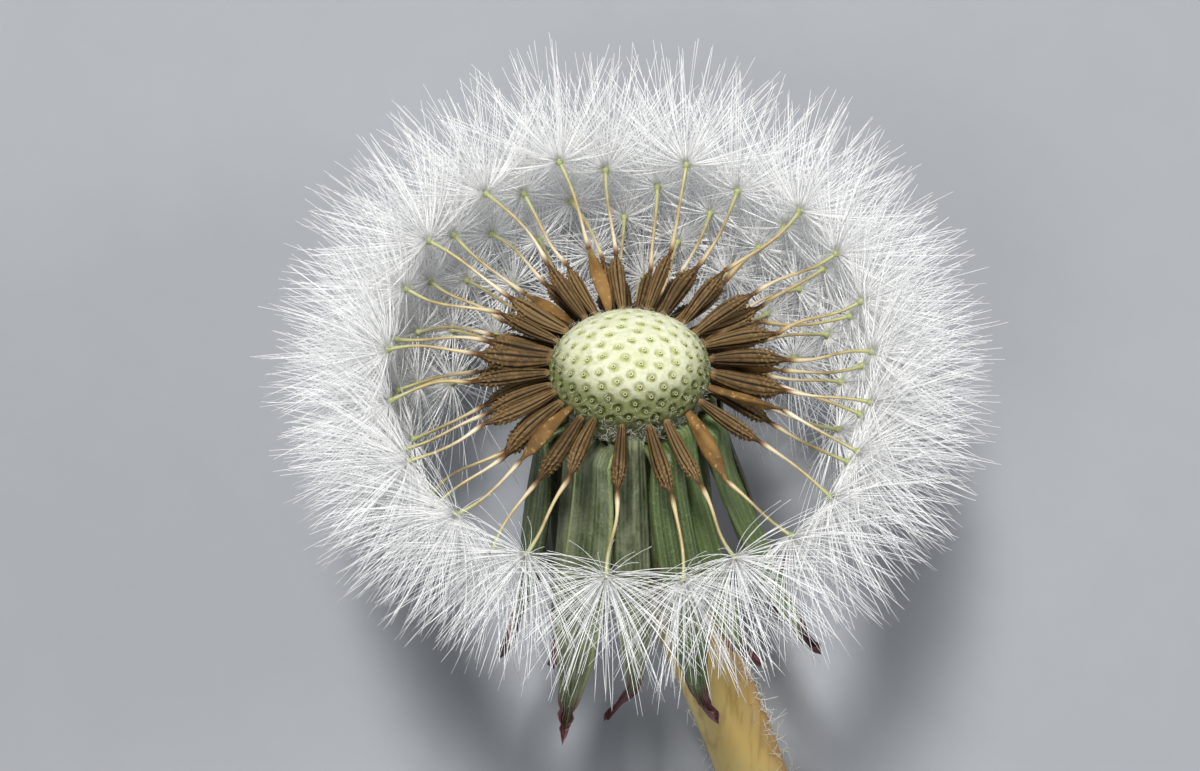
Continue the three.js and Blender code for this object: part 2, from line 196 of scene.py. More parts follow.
class DandelionColours(bpy.types.PropertyGroup):
    """Colours of the head's finishes, in linear light."""

    # Crown and pit colours come as lit and shaded copies: the top ones are painted light, the side ones
    # partly the crown's own olive and partly painted shade.
    crown_lit_top: colour("Crown top", "Fuzzy net on top of the crown", (0.75, 0.76, 0.585))
    crown_shaded_side: colour("Crown side", "Net on the sides of the crown", (0.18, 0.20, 0.07))
    pit_lit_top: colour("Upper pits", "Pits on top of the crown", (0.50, 0.53, 0.20))
    pit_shaded_side: colour("Side pits", "Pits on the sides of the crown", (0.06, 0.075, 0.009))
    achene_ridge: colour("Achene ridge", "Ribs of an achene", (0.132, 0.080, 0.032))
    # Achene grooves are painted near-black: painted shade in the grooves between the ribs.
    achene_groove_shade: colour("Achene groove", "Grooves between the ribs", (0.014, 0.008, 0.0035))
    achene_spine: colour("Achene spine", "Spines and root of an achene", (0.29, 0.185, 0.078))
    achene_husk: colour("Achene husk", "Smooth empty achenes", (0.24, 0.13, 0.04))
    beak: colour("Beak", "Middle of a beak", (0.50, 0.38, 0.17))
    collar: colour("Collar", "Disc under a parachute", (0.34, 0.38, 0.16))
    hair: colour("Hair", "Hairs of the parachutes", (0.98, 0.98, 0.98))
    bract_shade: colour("Bract shade", "Dark face of a bract", (0.045, 0.070, 0.018))
    bract_bloom: colour("Bract bloom", "Grey-green bloom on a bract", (0.29, 0.32, 0.20))
    bract_fresh: colour("Fresh bract", "Leaf green of the bracts that stay fresh", (0.115, 0.185, 0.038))
    bract_margin: colour("Bract margin", "Rolled margins of a bract", (0.34, 0.41, 0.15))
    bract_tip: colour("Bract tip", "Dry tips of the bracts", (0.055, 0.012, 0.016))
    stem: colour("Stem", "Skin of the stem", (0.64, 0.45, 0.15))
    # The stem's right side is painted darker orange: partly its own tint, partly painted shade.
    stem_side_orange_shade: colour("Stem side", "Darker right side of the stem", (0.45, 0.22, 0.05))
    floor: colour("Floor", "Table that the head lies on", (0.30, 0.315, 0.34))


# ---------------------------------------------------------------- node trees

class Value:
    """A node's output. Sums written with it become Math and Vector Math nodes."""

    def __init__(self, tree, socket):
        self.tree = tree
        self.socket = socket
        self.is_vector = socket.type in {"VECTOR", "RGBA"}

    def __add__(self, other):
        return self.tree.math("ADD", self, other)

    def __sub__(self, other):
        return self.tree.math("SUBTRACT", self, other)

    def __mul__(self, other):
        return self.tree.math("MULTIPLY", self, other)

    def __truediv__(self, other):
        return self.tree.math("DIVIDE", self, other)


class Tree:
    """Builds a node tree: nodes by type, and their inputs by name or place."""

    def __init__(self, tree):
        self.tree = tree

    def put(self, socket, value):
        if isinstance(value, Value):
            self.tree.links.new(value.socket, socket)
        else:
            socket.default_value = value

    def add(self, kind, inputs=None, **settings):
        node = self.tree.nodes.new(kind)
        for name, value in settings.items():
            setattr(node, name, value)
        sockets = {socket.name: socket for socket in reversed(node.inputs) if socket.enabled}
        for name, value in (inputs or {}).items():
            self.put(node.inputs[name] if isinstance(name, int) else sockets[name], value)
        return node

    def out(self, kind, inputs=None, output=None, **settings):
        """Adds a node and gives its named output, or the first one in use."""
        outputs = self.add(kind, inputs, **settings).outputs
        return Value(self, outputs[output] if output else next(s for s in outputs if s.enabled))

    def math(self, operation, *values):
        """One sum, by Vector Math where the first value is a vector."""
        if not getattr(values[0], "is_vector", False):
            return self.out("ShaderNodeMath", dict(enumerate(values)), operation=operation)
        if operation == "MULTIPLY":
            inputs = {0: values[0], "Scale": values[1]}
            return self.out("ShaderNodeVectorMath", inputs, operation="SCALE")
        return self.out("ShaderNodeVectorMath", dict(enumerate(values)), operation=operation)

    def measure(self, operation, *vectors):
        """A number taken off vectors: their dot product or a length."""
        return self.out("ShaderNodeVectorMath", dict(enumerate(vectors)), "Value", operation=operation)

    def ramp(self, value, low, high, start=0.0, end=1.0, smooth=True):
        """value carried from low..high to start..end, held at both ends."""
        inputs = {"Value": value, "From Min": low, "From Max": high, "To Min": start, "To Max": end}
        kind = "SMOOTHSTEP" if smooth else "LINEAR"
        return self.out("ShaderNodeMapRange", inputs, interpolation_type=kind)


class Growth(Tree):
    """A Geometry Nodes tree with named inputs, which turns a base mesh into a plain piece."""

    KINDS = {
        float: "NodeSocketFloat",
        int: "NodeSocketInt",
        bpy.types.Object: "NodeSocketObject",
        bpy.types.Material: "NodeSocketMaterial",
    }

    def __init__(self, name, values):
        tree = bpy.data.node_groups.new(name, "GeometryNodeTree")
        super().__init__(tree)
        for way in ("INPUT", "OUTPUT"):
            tree.interface.new_socket("Geometry", in_out=way, socket_type="NodeSocketGeometry")
        for title, value in values.items():
            tree.interface.new_socket(title, in_out="INPUT", socket_type=self.KINDS[type(value)])
        entry = tree.nodes.new("NodeGroupInput")
        self.values = values
        self.inputs = {socket.name: Value(self, socket) for socket in entry.outputs}

    def read(self, name, data_type="FLOAT"):
        return self.out("GeometryNodeInputNamedAttribute", {"Name": name}, data_type=data_type)

    def read_vector(self, name):
        return self.read(name, "FLOAT_VECTOR")

    def store(self, geometry, name, value):
        inputs = {"Geometry": geometry, "Name": name, "Value": value}
        kind = "FLOAT_VECTOR" if value.is_vector else "FLOAT"
        return self.out("GeometryNodeStoreNamedAttribute", inputs, domain="POINT", data_type=kind)

    def random(self, low, high, step=0):
        """A draw for every point; each step past the tree's seed draws afresh."""
        inputs = {"Min": low, "Max": high, "Seed": self.inputs["Seed"] + step}
        kind = "FLOAT_VECTOR" if isinstance(low, tuple) else "FLOAT"
        return self.out("FunctionNodeRandomValue", inputs, data_type=kind)

    def facing(self, vector):
        """A rotation that stands local Z along vector."""
        return self.out("FunctionNodeAlignRotationToVector", {"Vector": vector}, axis="Z")

    def turned(self, rotation, axis, angle):
        """rotation with a further turn about one of its own axes."""
        by = self.out("FunctionNodeAxisAngleToRotation", {"Axis": axis, "Angle": angle})
        inputs = {"Rotation": rotation, "Rotate By": by}
        return self.out("FunctionNodeRotateRotation", inputs, rotation_space="LOCAL")

    def leaning(self, rotation, turn, lean):
        """rotation turned about its Z, and then leant away from it."""
        return self.turned(self.turned(rotation, (0, 0, 1), turn), (0, 1, 0), lean)

    def shape_of(self, title):
        """The geometry of the object that a named input holds."""
        return self.out("GeometryNodeObjectInfo", {"Object": self.inputs[title]}, "Geometry")

    def instance(self, points, shape, rotation, scale=(1, 1, 1), **others):
        inputs = {"Points": points, "Instance": shape, "Rotation": rotation, "Scale": scale, **others}
        return self.out("GeometryNodeInstanceOnPoints", inputs)

    def real(self, instances):
        return self.out("GeometryNodeRealizeInstances", {"Geometry": instances})

    def threads(self, points, rotation, length):
        """A hair on each point, as thick as the tree's Thickness says."""
        radius = self.inputs["Thickness"] * 0.5
        scale = self.combine(radius, radius, length)
        return self.real(self.instance(points, self.shape_of("Hair"), rotation, scale))

    def combine(self, x, y, z):
        return self.out("ShaderNodeCombineXYZ", {0: x, 1: y, 2: z})

    def join(self, *parts):
        node = self.add("GeometryNodeJoinGeometry")
        for part in reversed(parts):
            self.put(node.inputs[0], part)
        return Value(self, node.outputs[0])

    def move(self, geometry, offset):
        return self.out("GeometryNodeSetPosition", {"Geometry": geometry, "Offset": offset})

    def finish(self, geometry):
        """Ends the tree: instances made real, smooth shading and the material."""
        smooth = self.out("GeometryNodeSetShadeSmooth", {"Geometry": self.real(geometry)})
        coated = self.out(
            "GeometryNodeSetMaterial", {"Geometry": smooth, "Material": self.inputs["Material"]})
        self.put(self.tree.nodes.new("NodeGroupOutput").inputs[0], coated)
        return self

    def grow(self, name, base):
        """Runs the tree on the base mesh and returns the result as a plain object."""
        carrier = place(name + "_base", base)
        modifier = carrier.modifiers.new("growth", "NODES")
        modifier.node_group = self.tree
        for item in self.tree.interface.items_tree:
            if item.in_out == "INPUT" and item.name in self.values:
                modifier[item.identifier] = self.values[item.name]
        depsgraph = bpy.context.evaluated_depsgraph_get()
        mesh = bpy.data.meshes.new_from_object(carrier.evaluated_get(depsgraph))
        carrier.modifiers.remove(modifier)
        bpy.data.objects.remove(carrier)
        mesh.name = name
        return place(name, mesh)


def place(name, mesh):
    """A new object at the origin that shows the mesh."""
    piece = bpy.data.objects.new(name, mesh)
    bpy.context.scene.collection.objects.link(piece)
    return piece


def hidden_shape(mesh):
    """An object that only lends its mesh to a tree."""
    shape = place(mesh.name, mesh)
    shape.hide_render = True
    return shape


def discard(*shapes):
    for shape in shapes:
        bpy.data.objects.remove(shape)


def register_piece(piece, slot, *nodes):
    """Hangs the piece on the frame's body and hides the CAD parts that it stands for."""
    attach(piece, BODY)
    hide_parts(*nodes)


# ---------------------------------------------------------------- meshes

def make_mesh(name, points, faces=(), **attributes):
    """A mesh with a float or vector attribute on its points for each keyword."""
    mesh = bpy.data.meshes.new(name)
    mesh.from_pydata([tuple(point) for point in points], [], faces)
    for title, values in attributes.items():
        array = np.array([tuple(v) if isinstance(v, Vector) else v for v in values], np.float32)
        kind, field = ("FLOAT_VECTOR", "vector") if array.ndim == 2 else ("FLOAT", "value")
        mesh.attributes.new(title, kind, "POINT").data.foreach_set(field, array.ravel())
    return mesh


def ring(radius, height, columns):
    """Points round the Z axis."""
    angles = [2 * math.pi * column / columns for column in range(columns)]
    return [Vector((radius * math.cos(a), radius * math.sin(a), height)) for a in angles]


def grid_faces(rows, columns, closed=True, flipped=False):
    """Quads between rows of equally many points; closed joins a row's ends."""
    faces = []
    for row in range(rows - 1):
        for i in range(columns if closed else columns - 1):
            a = row * columns + i
            b = row * columns + (i + 1) % columns
            face = (a, b, b + columns, a + columns)
            faces.append(face[::-1] if flipped else face)
    return faces


def lathe_mesh(name, rows, **attributes):
    """A closed skin from rows of points, capped at both ends."""
    columns = len(rows[0])
    points = [point for row in rows for point in row]
    faces = grid_faces(len(rows), columns)
    faces.append(tuple(reversed(range(columns))))
    faces.append(tuple(range(len(points) - columns, len(points))))
    return make_mesh(name, points, faces, **attributes)


# ---------------------------------------------------------------- finishes

def shade(colour, amount):
    return tuple(amount * channel for channel in colour)


class Finish(Tree):
    """A material round one Principled surface, whose colour is laid on coat by coat."""

    def __init__(self, name, roughness, **inputs):
        self.material = bpy.data.materials.new(name)
        self.material.use_nodes = True
        super().__init__(self.material.node_tree)
        self.surface = self.tree.nodes["Principled BSDF"].inputs
        for title, value in {"Roughness": roughness, **inputs}.items():
            self.surface[title.replace("_", " ")].default_value = value
        self.place = self.out("ShaderNodeTexCoord", output="Object")
        self.skin = None

    def attribute(self, name):
        return self.out("ShaderNodeAttribute", output="Fac", attribute_name=name)

    def noise(self, scale, detail=4.0, roughness=0.55, stretch=None):
        """Noise in the object's space, drawn out along the axes whose stretch is under 1."""
        place = self.place
        if stretch:
            place = self.out("ShaderNodeMapping", {"Vector": place, "Scale": stretch})
        inputs = {"Vector": place, "Scale": scale, "Detail": detail, "Roughness": roughness}
        return self.out("ShaderNodeTexNoise", inputs, "Fac")

    def mix(self, share, *colours):
        first, second = [c if isinstance(c, Value) else (*c, 1) for c in colours]
        node = self.add("ShaderNodeMix", {0: share, 6: first, 7: second}, data_type="RGBA")
        return Value(self, node.outputs[2])

    def coat(self, colour, share=None):
        """Lays a colour over the skin by a share, or starts the skin with it."""
        self.skin = colour if share is None else self.mix(share, self.skin, colour)

    def done(self, height=None, distance=0.0, strength=1.0):
        """Puts the skin on the surface, with bumps where height is given."""
        self.put(self.surface["Base Color"], self.skin)
        if height:
            inputs = {"Height": height, "Distance": distance, "Strength": strength}
            self.put(self.surface["Normal"], self.out("ShaderNodeBump", inputs))
        return self.material


def crown_finish(colours):
    """Downy cream net over green pits, with a dark dot in each little cup. Every colour is mixed by the
    lit share: lighter on top as painted light, darker olive down the sides as the crown's own olive
    deepened by painted shade.
    """
    finish = Finish("downy_crown", 0.7, Subsurface_Weight=0.12, Subsurface_Scale=1.0,
                    Subsurface_Radius=(0.5 * MM, 0.6 * MM, 0.2 * MM))
    top_light = finish.ramp(finish.attribute("lit"), 0.42, 0.97)
    cup = finish.attribute("cup")
    fuzz = finish.noise(3200, 6, 0.75)
    mottle = finish.noise(620, 4, 0.6)
    # Pits, mounds, net and rims below each mix a painted-shade side colour with a painted-light top
    # colour by the lit share.
    finish.coat(colours.pit_shaded_side)
    finish.coat(colours.pit_lit_top, top_light)
    mound = finish.mix(top_light, (0.20, 0.21, 0.035), (0.60, 0.60, 0.24))
    finish.coat(mound, finish.attribute("mound") * 0.7)
    net = finish.mix(top_light, colours.crown_shaded_side, colours.crown_lit_top)
    cover = finish.attribute("net") * finish.ramp(fuzz, 0.3, 0.6, 0.55, 1.0)
    finish.coat(net, cover * finish.ramp(mottle, 0.3, 0.6, 0.6, 1.0))
    rim = finish.mix(top_light, (0.36, 0.37, 0.17), (0.74, 0.73, 0.45))
    finish.coat(rim, finish.ramp(cup, 0.5, 0.8))
    finish.coat((0.012, 0.01, 0.006), finish.ramp(cup, 1.1, 1.4))
    return finish.done(fuzz + mottle, 0.12 * MM)


def achene_finish(colours):
    """Brown ribs over grooves painted near-black as shade, tan spines and root; smooth amber where the
    seed is a husk.
    """
    finish = Finish("ribbed_achene", 0.62, Specular_IOR_Level=0.16)
    along = finish.attribute("along")
    grain = finish.noise(2600, 5, 0.7)
    worn = finish.noise(420, 3)
    brown = colours.achene_ridge
    amber = colours.achene_husk
    rib = finish.mix(finish.ramp(grain, 0.32, 0.68), shade(brown, 0.5), shade(brown, 1.45))
    rib = finish.mix(finish.ramp(worn, 0.4, 0.7), rib, shade(brown, 0.6))
    rib = finish.mix(finish.attribute("tone") * 0.8, rib, colours.achene_spine)
    # The skin starts near-black, painted shade in the grooves; the ridge mask lays the rib colour over
    # it.
    finish.coat(colours.achene_groove_shade)
    finish.coat(rib, finish.ramp(finish.attribute("ridge"), 0.25, 0.95))
    finish.coat(colours.achene_spine, finish.attribute("spine"))
    finish.coat(colours.achene_spine, finish.ramp(along, 0.09, 0.0, 0.0, 0.75))
    finish.coat((0.075, 0.036, 0.014), finish.ramp(along, 0.865, 0.93))
    finish.coat((0.22, 0.12, 0.05), finish.ramp(along, 0.95, 1.0))
    husk = finish.mix(finish.ramp(worn, 0.35, 0.65), amber, shade(amber, 0.45))
    husk = finish.mix(finish.ramp(grain, 0.55, 0.75), husk, (0.55, 0.36, 0.14))
    finish.coat(husk, finish.attribute("husk"))
    return finish.done(grain, 0.06 * MM)


def beak_finish(colours):
    """Brown where it leaves the achene, then cream or straw, and green under the parachute."""
    finish = Finish("straw_beak", 0.4, Subsurface_Weight=0.08,
                    Subsurface_Radius=(0.3 * MM, 0.3 * MM, 0.15 * MM))
    along = finish.attribute("along")
    streak = finish.noise(1100, 4)
    cream = finish.mix(finish.attribute("tone"), colours.beak, (0.76, 0.67, 0.50))
    straw = finish.mix(finish.ramp(streak, 0.35, 0.65), colours.beak, shade(colours.beak, 0.6))
    finish.coat((0.17, 0.085, 0.032))
    finish.coat(cream, finish.ramp(along, 0.0, 0.12))
    finish.coat(straw, finish.ramp(along, 0.15, 0.6))
    finish.coat((0.42, 0.42, 0.20), finish.ramp(along, 0.55, 0.95))
    return finish.done(streak, 0.03 * MM, 0.6)


def collar_finish(colours):
    """Green disc below, cream-brown dimple on the outer side."""
    finish = Finish("parachute_collar", 0.5)
    along = finish.attribute("along")
    finish.coat(colours.collar)
    finish.coat((0.86, 0.86, 0.70), finish.ramp(along, 0.4, 0.62))
    finish.coat((0.52, 0.44, 0.26), finish.ramp(along, 0.85, 0.97))
    return finish.done(finish.noise(3000), 0.02 * MM, 0.5)


def hair_finish(colours):
    """Silky white, a little warmer at the root."""
    finish = Finish("silky_hair", 0.4, Sheen_Weight=0.25, Sheen_Roughness=0.4)
    finish.coat((0.96, 0.96, 0.90))
    finish.coat(colours.hair, finish.ramp(finish.attribute("along"), 0.0, 0.1))
    return finish.done()


def bract_finish(colours):
    """Green face under a grey bloom, long veins, bright rolled margins and maroon dry tips."""
    finish = Finish("grey_green_bract", 0.5)
    edge = finish.math("ABSOLUTE", finish.attribute("across"))
    tone = finish.attribute("tone")
    vein = finish.attribute("vein")
    mottle = finish.noise(900, 5, 0.65, (1.0, 0.3, 0.45))
    speckle = finish.noise(5200, 3)
    fresh = finish.attribute("fresh") * finish.ramp(mottle, 0.7, 0.4, 0.5, 0.95)
    finish.coat(colours.bract_shade)
    finish.coat(colours.bract_bloom, finish.ramp(mottle, 0.32, 0.66) * finish.ramp(tone, 0.1, 0.6))
    finish.coat(colours.bract_fresh, fresh)
    finish.coat((0.045, 0.022, 0.018), finish.ramp(tone, 0.16, 0.0, 0.0, 0.8))
    finish.coat((0.22, 0.26, 0.14), finish.ramp(vein, 0.45, 0.95, 0.0, 0.4))
    finish.coat(colours.bract_margin, finish.ramp(edge, 0.78, 0.97) * finish.ramp(tone, 0.15, 0.5))
    finish.coat((0.30, 0.34, 0.24), finish.ramp(speckle, 0.5, 0.75, 0.0, 0.35))
    tip = finish.mix(finish.ramp(mottle, 0.4, 0.7), colours.bract_tip, (0.28, 0.12, 0.125))
    dry = finish.attribute("along") + edge * 0.09 + mottle * 0.14
    finish.coat(tip, finish.ramp(dry, 0.92, 1.04))
    return finish.done(vein * 0.5 + speckle + mottle, 0.08 * MM, 0.9)


def stem_finish(colours):
    """Waxy ochre, darker orange on its right side, partly its own tint and partly painted shade, with
    faint long streaks and small specks.
    """
    finish = Finish("waxy_stem", 0.45, Subsurface_Weight=0.3, Subsurface_Scale=1.0,
                    Subsurface_Radius=(1.6 * MM, 0.9 * MM, 0.3 * MM))
    streak = finish.noise(1500, 4, 0.6, (1.0, 0.12, 0.4))
    patch = finish.noise(160, 3)
    specks = finish.noise(1900, 2)
    finish.coat(colours.stem)
    finish.coat((0.66, 0.52, 0.21), finish.ramp(patch, 0.35, 0.65))
    # The right side is painted darker orange: partly the stem's own tint, partly painted shade.
    finish.coat(colours.stem_side_orange_shade, finish.ramp(finish.attribute("around"), 0.4, 0.95, 0.0, 0.85))
    finish.coat((0.27, 0.14, 0.03), finish.ramp(streak, 0.48, 0.72, 0.0, 0.45))
    finish.coat((0.16, 0.07, 0.02), finish.ramp(specks, 0.72, 0.76, 0.0, 0.6))
    finish.coat((0.62, 0.52, 0.30), finish.attribute("inner"))
    return finish.done(streak + patch, 0.06 * MM, 0.5)


def down_finish():
    """Grey-white wool and cottony wisps."""
    finish = Finish("white_down", 0.6)
    finish.coat((0.55, 0.56, 0.50))
    finish.coat((0.85, 0.85, 0.80), finish.noise(900))
    return finish.done()


def floor_finish(colours):
    """Plain matte table, very faintly mottled."""
    finish = Finish("matte_table", 0.8)
    grain = finish.noise(260, 5, 0.6)
    finish.coat(shade(colours.floor, 0.99))
    finish.coat(shade(colours.floor, 1.01), finish.ramp(grain, 0.3, 0.7))
    return finish.done(grain, 0.02 * MM, 0.2)


# ---------------------------------------------------------------- receptacle

# Each ring of a socket's little cup: radius, height, and the value that colours it
CUP = ((0.15, -0.6, 0.4), (0.125, 0.5, 0.7), (0.1, 1.0, 0.9), (0.07, 0.6, 1.0), (0.05, -0.4, 1.5),
       (0.02, -0.6, 2.0))
CUP_TUBE = 0.034 * MM
CUP_SINK = -0.15
CUP_COLUMNS = 12
PIT_NOISE = 0.25 * MM
ICO_LEVEL = 7
ICO_CROWN = math.radians(150)


def drum_point(share):
    """Radius and height on the drum's outline, from the crown's edge in to the stem."""
    edge = crown_point(CROWN_EDGE, 0)
    outline = np.array([(edge.x, edge.z), *DRUM])
    steps = np.hypot(*np.diff(outline, axis=0).T)
    lengths = [0.0, *np.cumsum(steps)]
    return [float(np.interp(share * lengths[-1], lengths, side)) for side in outline.T]


def receptacle_base():
    """A fine smooth crown and drum, before its sockets are pressed in."""
    bm = bmesh.new()
    bmesh.ops.create_icosphere(bm, subdivisions=ICO_LEVEL, radius=1)
    for vertex in bm.verts:
        polar = math.acos(max(-1, min(1, vertex.co.z)))
        azimuth = math.atan2(vertex.co.y, vertex.co.x)
        if polar <= ICO_CROWN:
            point = crown_point(polar * CROWN_EDGE / ICO_CROWN, azimuth)
        else:
            radius, z = drum_point((polar - ICO_CROWN) / (math.pi - ICO_CROWN))
            point = Vector((radius * math.cos(azimuth), radius * math.sin(azimuth), z))
        vertex.co = HEAD @ point
    mesh = bpy.data.meshes.new("receptacle_base")
    bm.to_mesh(mesh)
    bm.free()
    return mesh


def cup_mesh():
    """The raised rim of a socket's little cup, with its dark bottom."""
    rows = [ring(radius * MM, height * CUP_TUBE, CUP_COLUMNS) for radius, height, _ in CUP]
    return lathe_mesh("cup", rows, cup=[value for _, _, value in CUP for _ in range(CUP_COLUMNS)])


def receptacle_growth(values):
    """Presses a pit round each bare socket, leaves a small mound in it and sets a cup on that."""
    tree = Growth("receptacle_growth", values)
    depth = tree.inputs["Depth"]
    points = tree.shape_of("Sockets")
    noise = tree.out("ShaderNodeTexNoise", {"Scale": 1500.0, "Detail": 3.0}, "Fac")
    rough = (noise - 0.5) * PIT_NOISE
    near = {"Geometry": points}
    away = tree.out("GeometryNodeProximity", near, "Distance", target_element="POINTS") + rough
    net = tree.ramp(away, 0.12 * MM, 0.42 * MM)
    mound = tree.ramp(away, 0.06 * MM, 0.2 * MM, 1.0, 0.0)
    lift = (net * 0.85 + mound * 0.75 - 1.0) * depth + rough
    normal = tree.out("GeometryNodeInputNormal")
    lit = tree.measure("DOT_PRODUCT", normal, tuple(HEAD_AXIS))
    skin = tree.inputs["Geometry"]
    for title, value in (("net", net), ("mound", mound), ("lit", lit)):
        skin = tree.store(skin, title, value)
    skin = tree.move(skin, normal * lift)
    outward = tree.read_vector("normal")
    cups = tree.real(tree.instance(points, tree.shape_of("Cup"), tree.facing(outward)))
    cups = tree.move(cups, outward * (depth * CUP_SINK))
    return tree.finish(tree.join(skin, cups))


class DANDELION_OT_receptacle(bpy.types.Operator):
    """Grow the domed crown with its spiral of sockets"""

    bl_idname = "dandelion.receptacle"
    bl_label = "Receptacle"

    def execute(self, context):
        sockets = hidden_shape(make_mesh(
            "sockets", [socket.root for socket in BARE_SOCKETS],
            normal=[socket.normal for socket in BARE_SOCKETS],
            lit=[socket.normal.dot(HEAD_AXIS) for socket in BARE_SOCKETS]))
        cup = hidden_shape(cup_mesh())
        tree = receptacle_growth({
            "Sockets": sockets,
            "Cup": cup,
            "Depth": context.scene.dandelion_sizes.socket_depth,
            "Material": crown_finish(context.scene.dandelion_colours),
        })
        piece = tree.grow("receptacle_crown", receptacle_base())
        discard(sockets, cup)
        register_piece(piece, "receptacle", "receptacle_with_achenes")
        return {"FINISHED"}


# ---------------------------------------------------------------- achenes and beaks

ACHENE_OUTLINE = (
    (0.0, 0.14), (0.015, 0.24), (0.05, 0.33), (0.15, 0.43), (0.35, 0.57), (0.52, 0.64), (0.62, 0.62),
    (0.72, 0.55), (0.8, 0.45), (0.85, 0.34), (0.89, 0.24), (0.94, 0.175), (1.0, 0.15))
ACHENE_FLATNESS = 0.72
RIBS = 10
RIB_COLUMNS = 3
RIB_DEPTH = 0.12 * MM
SPINE_HEIGHT = 0.2 * MM
SPINES = (0.5, 0.84)

# Each kind of achene: how slim it is, and whether it has ribs
ACHENE_KINDS = {"Ribbed achene": (1.0, 1), "Slim achene": (0.84, 1), "Husk": (0.72, 0)}


def achene_rows():
    """Places along an achene, closer together where it bears spines."""
    low, high = SPINES
    return [0, 0.015, *np.linspace(0.05, low, 8, endpoint=False),
            *np.linspace(low, high, 17, endpoint=False), *np.linspace(high, 1, 6)]


def achene_mesh(name, slim, ribbed):
    """One achene standing on the origin: ribs and grooves, and spines near the top if ribbed."""
    columns = RIBS * RIB_COLUMNS
    rows, along, ridges, spines = [], [], [], []
    for row, share in enumerate(achene_rows()):
        base = float(np.interp(share, *zip(*ACHENE_OUTLINE))) * MM * slim
        body = smoothstep(share, 0.02, 0.12) * (1 - smoothstep(share, 0.82, 0.89))
        spiny = smoothstep(share, SPINES[0], 0.7) * (1 - smoothstep(share, 0.83, 0.88))
        sag = 0.16 * MM * math.sin(math.pi * share) * slim
        points = []
        for column in range(columns):
            rib = column // RIB_COLUMNS
            angle = 2 * math.pi * (column + 0.35 * spread(rib, 12)) / columns
            ridge = 0.0 if column % RIB_COLUMNS == 0 else 1.0
            groove = (1 - ridge) * (0.55 + 0.45 * (rib % 2))
            pointed = (row + 2 * (rib % 2)) % 3 == 0 and column % RIB_COLUMNS == 1 + row % 2
            tooth = pointed * spiny * (0.5 + 0.5 * draw(row * 31 + column, 11))
            radius = base + ribbed * (tooth * SPINE_HEIGHT - body * RIB_DEPTH * groove)
            wrinkle = (1 - ribbed) * 0.16 * base * math.cos(3 * angle + 5 * share) * body
            points.append(Vector((
                (radius + wrinkle) * math.cos(angle) + sag,
                ACHENE_FLATNESS * (radius + wrinkle) * math.sin(angle),
                share * ACHENE_LENGTH + ribbed * tooth * 0.5 * SPINE_HEIGHT)))
            along.append(share)
            ridges.append(1 - groove if ribbed else 0.6)
            spines.append(min(1.0, 1.3 * tooth) * ribbed)
        rows.append(points)
    return lathe_mesh(name, rows, along=along, ridge=ridges, spine=spines)


class Achene:
    """How one achene stands: its lean, size and tone, and how its beak runs."""

    def __init__(self, seed, tilt):
        index = seed.index
        self.index = index
        self.hub = seed.hub
        side = seed.way.orthogonal().normalized()
        lean = Matrix.Rotation(2 * math.pi * draw(index, 21), 3, seed.way) @ side
        self.way = (seed.way + lean * math.tan(tilt * draw(index, 22))).normalized()
        self.size = 0.94 + 0.12 * draw(index, 23)
        self.girth = 0.88 + 0.26 * draw(index, 24)
        self.kind = 2 if draw(index, 25) > 0.88 else int(draw(index, 26) > 0.6)
        self.spin = 2 * math.pi * draw(index, 27)
        self.tone = 0.55 * draw(index, 28) ** 2 + (0.25 if self.kind == 1 else 0)
        self.husk = 1.0 if self.kind == 2 else 0.0
        self.root = seed.root - self.way * 0.1 * MM
        self.tip = self.root + self.way * ACHENE_LENGTH * self.size
        self.bow = side.cross(seed.way) * math.cos(self.spin) + side * math.sin(self.spin)
        self.snake = self.bow.cross(seed.way) * BEAK_SNAKE


def achene_growth(values):
    """Stands one of three achenes on each point, along its own direction."""
    tree = Growth("achene_growth", values)
    shapes = [tree.out("GeometryNodeGeometryToInstance", {"Geometry": tree.shape_of(title)})
              for title in ACHENE_KINDS]
    rotation = tree.turned(tree.facing(tree.read_vector("way")), (0, 0, 1), tree.read("spin"))
    girth = tree.read("girth")
    scale = tree.combine(girth, girth, tree.read("size"))
    standing = tree.instance(
        tree.inputs["Geometry"], tree.join(*shapes), rotation, scale,
        **{"Pick Instance": True, "Instance Index": tree.read("kind", "INT")})
    return tree.finish(standing)


class DANDELION_OT_achenes(bpy.types.Operator):
    """Grow the ribbed brown achenes that still stand in their sockets"""

    bl_idname = "dandelion.achenes"
    bl_label = "Achenes"

    def execute(self, context):
        achenes = [Achene(seed, context.scene.dandelion_sizes.achene_tilt) for seed in SEEDS]
        shapes = {
            title: hidden_shape(achene_mesh(title, *build)) for title, build in ACHENE_KINDS.items()}
        traits = ("way", "spin", "girth", "size", "kind", "tone", "husk")
        base = make_mesh("achene_roots", [achene.root for achene in achenes], **{
            trait: [getattr(achene, trait) for achene in achenes] for trait in traits})
        tree = achene_growth({**shapes, "Material": achene_finish(context.scene.dandelion_colours)})
        piece = tree.grow("achenes", base)
        discard(*shapes.values())
        register_piece(piece, "achene", "receptacle_with_achenes")
        return {"FINISHED"}


BEAK_START = 0.165 * MM
BEAK_WAIST = 0.1 * MM
BEAK_END = 0.135 * MM
BEAK_SNAKE = 0.3
BEAK_STEPS = 18
BEAK_SIDES = 8


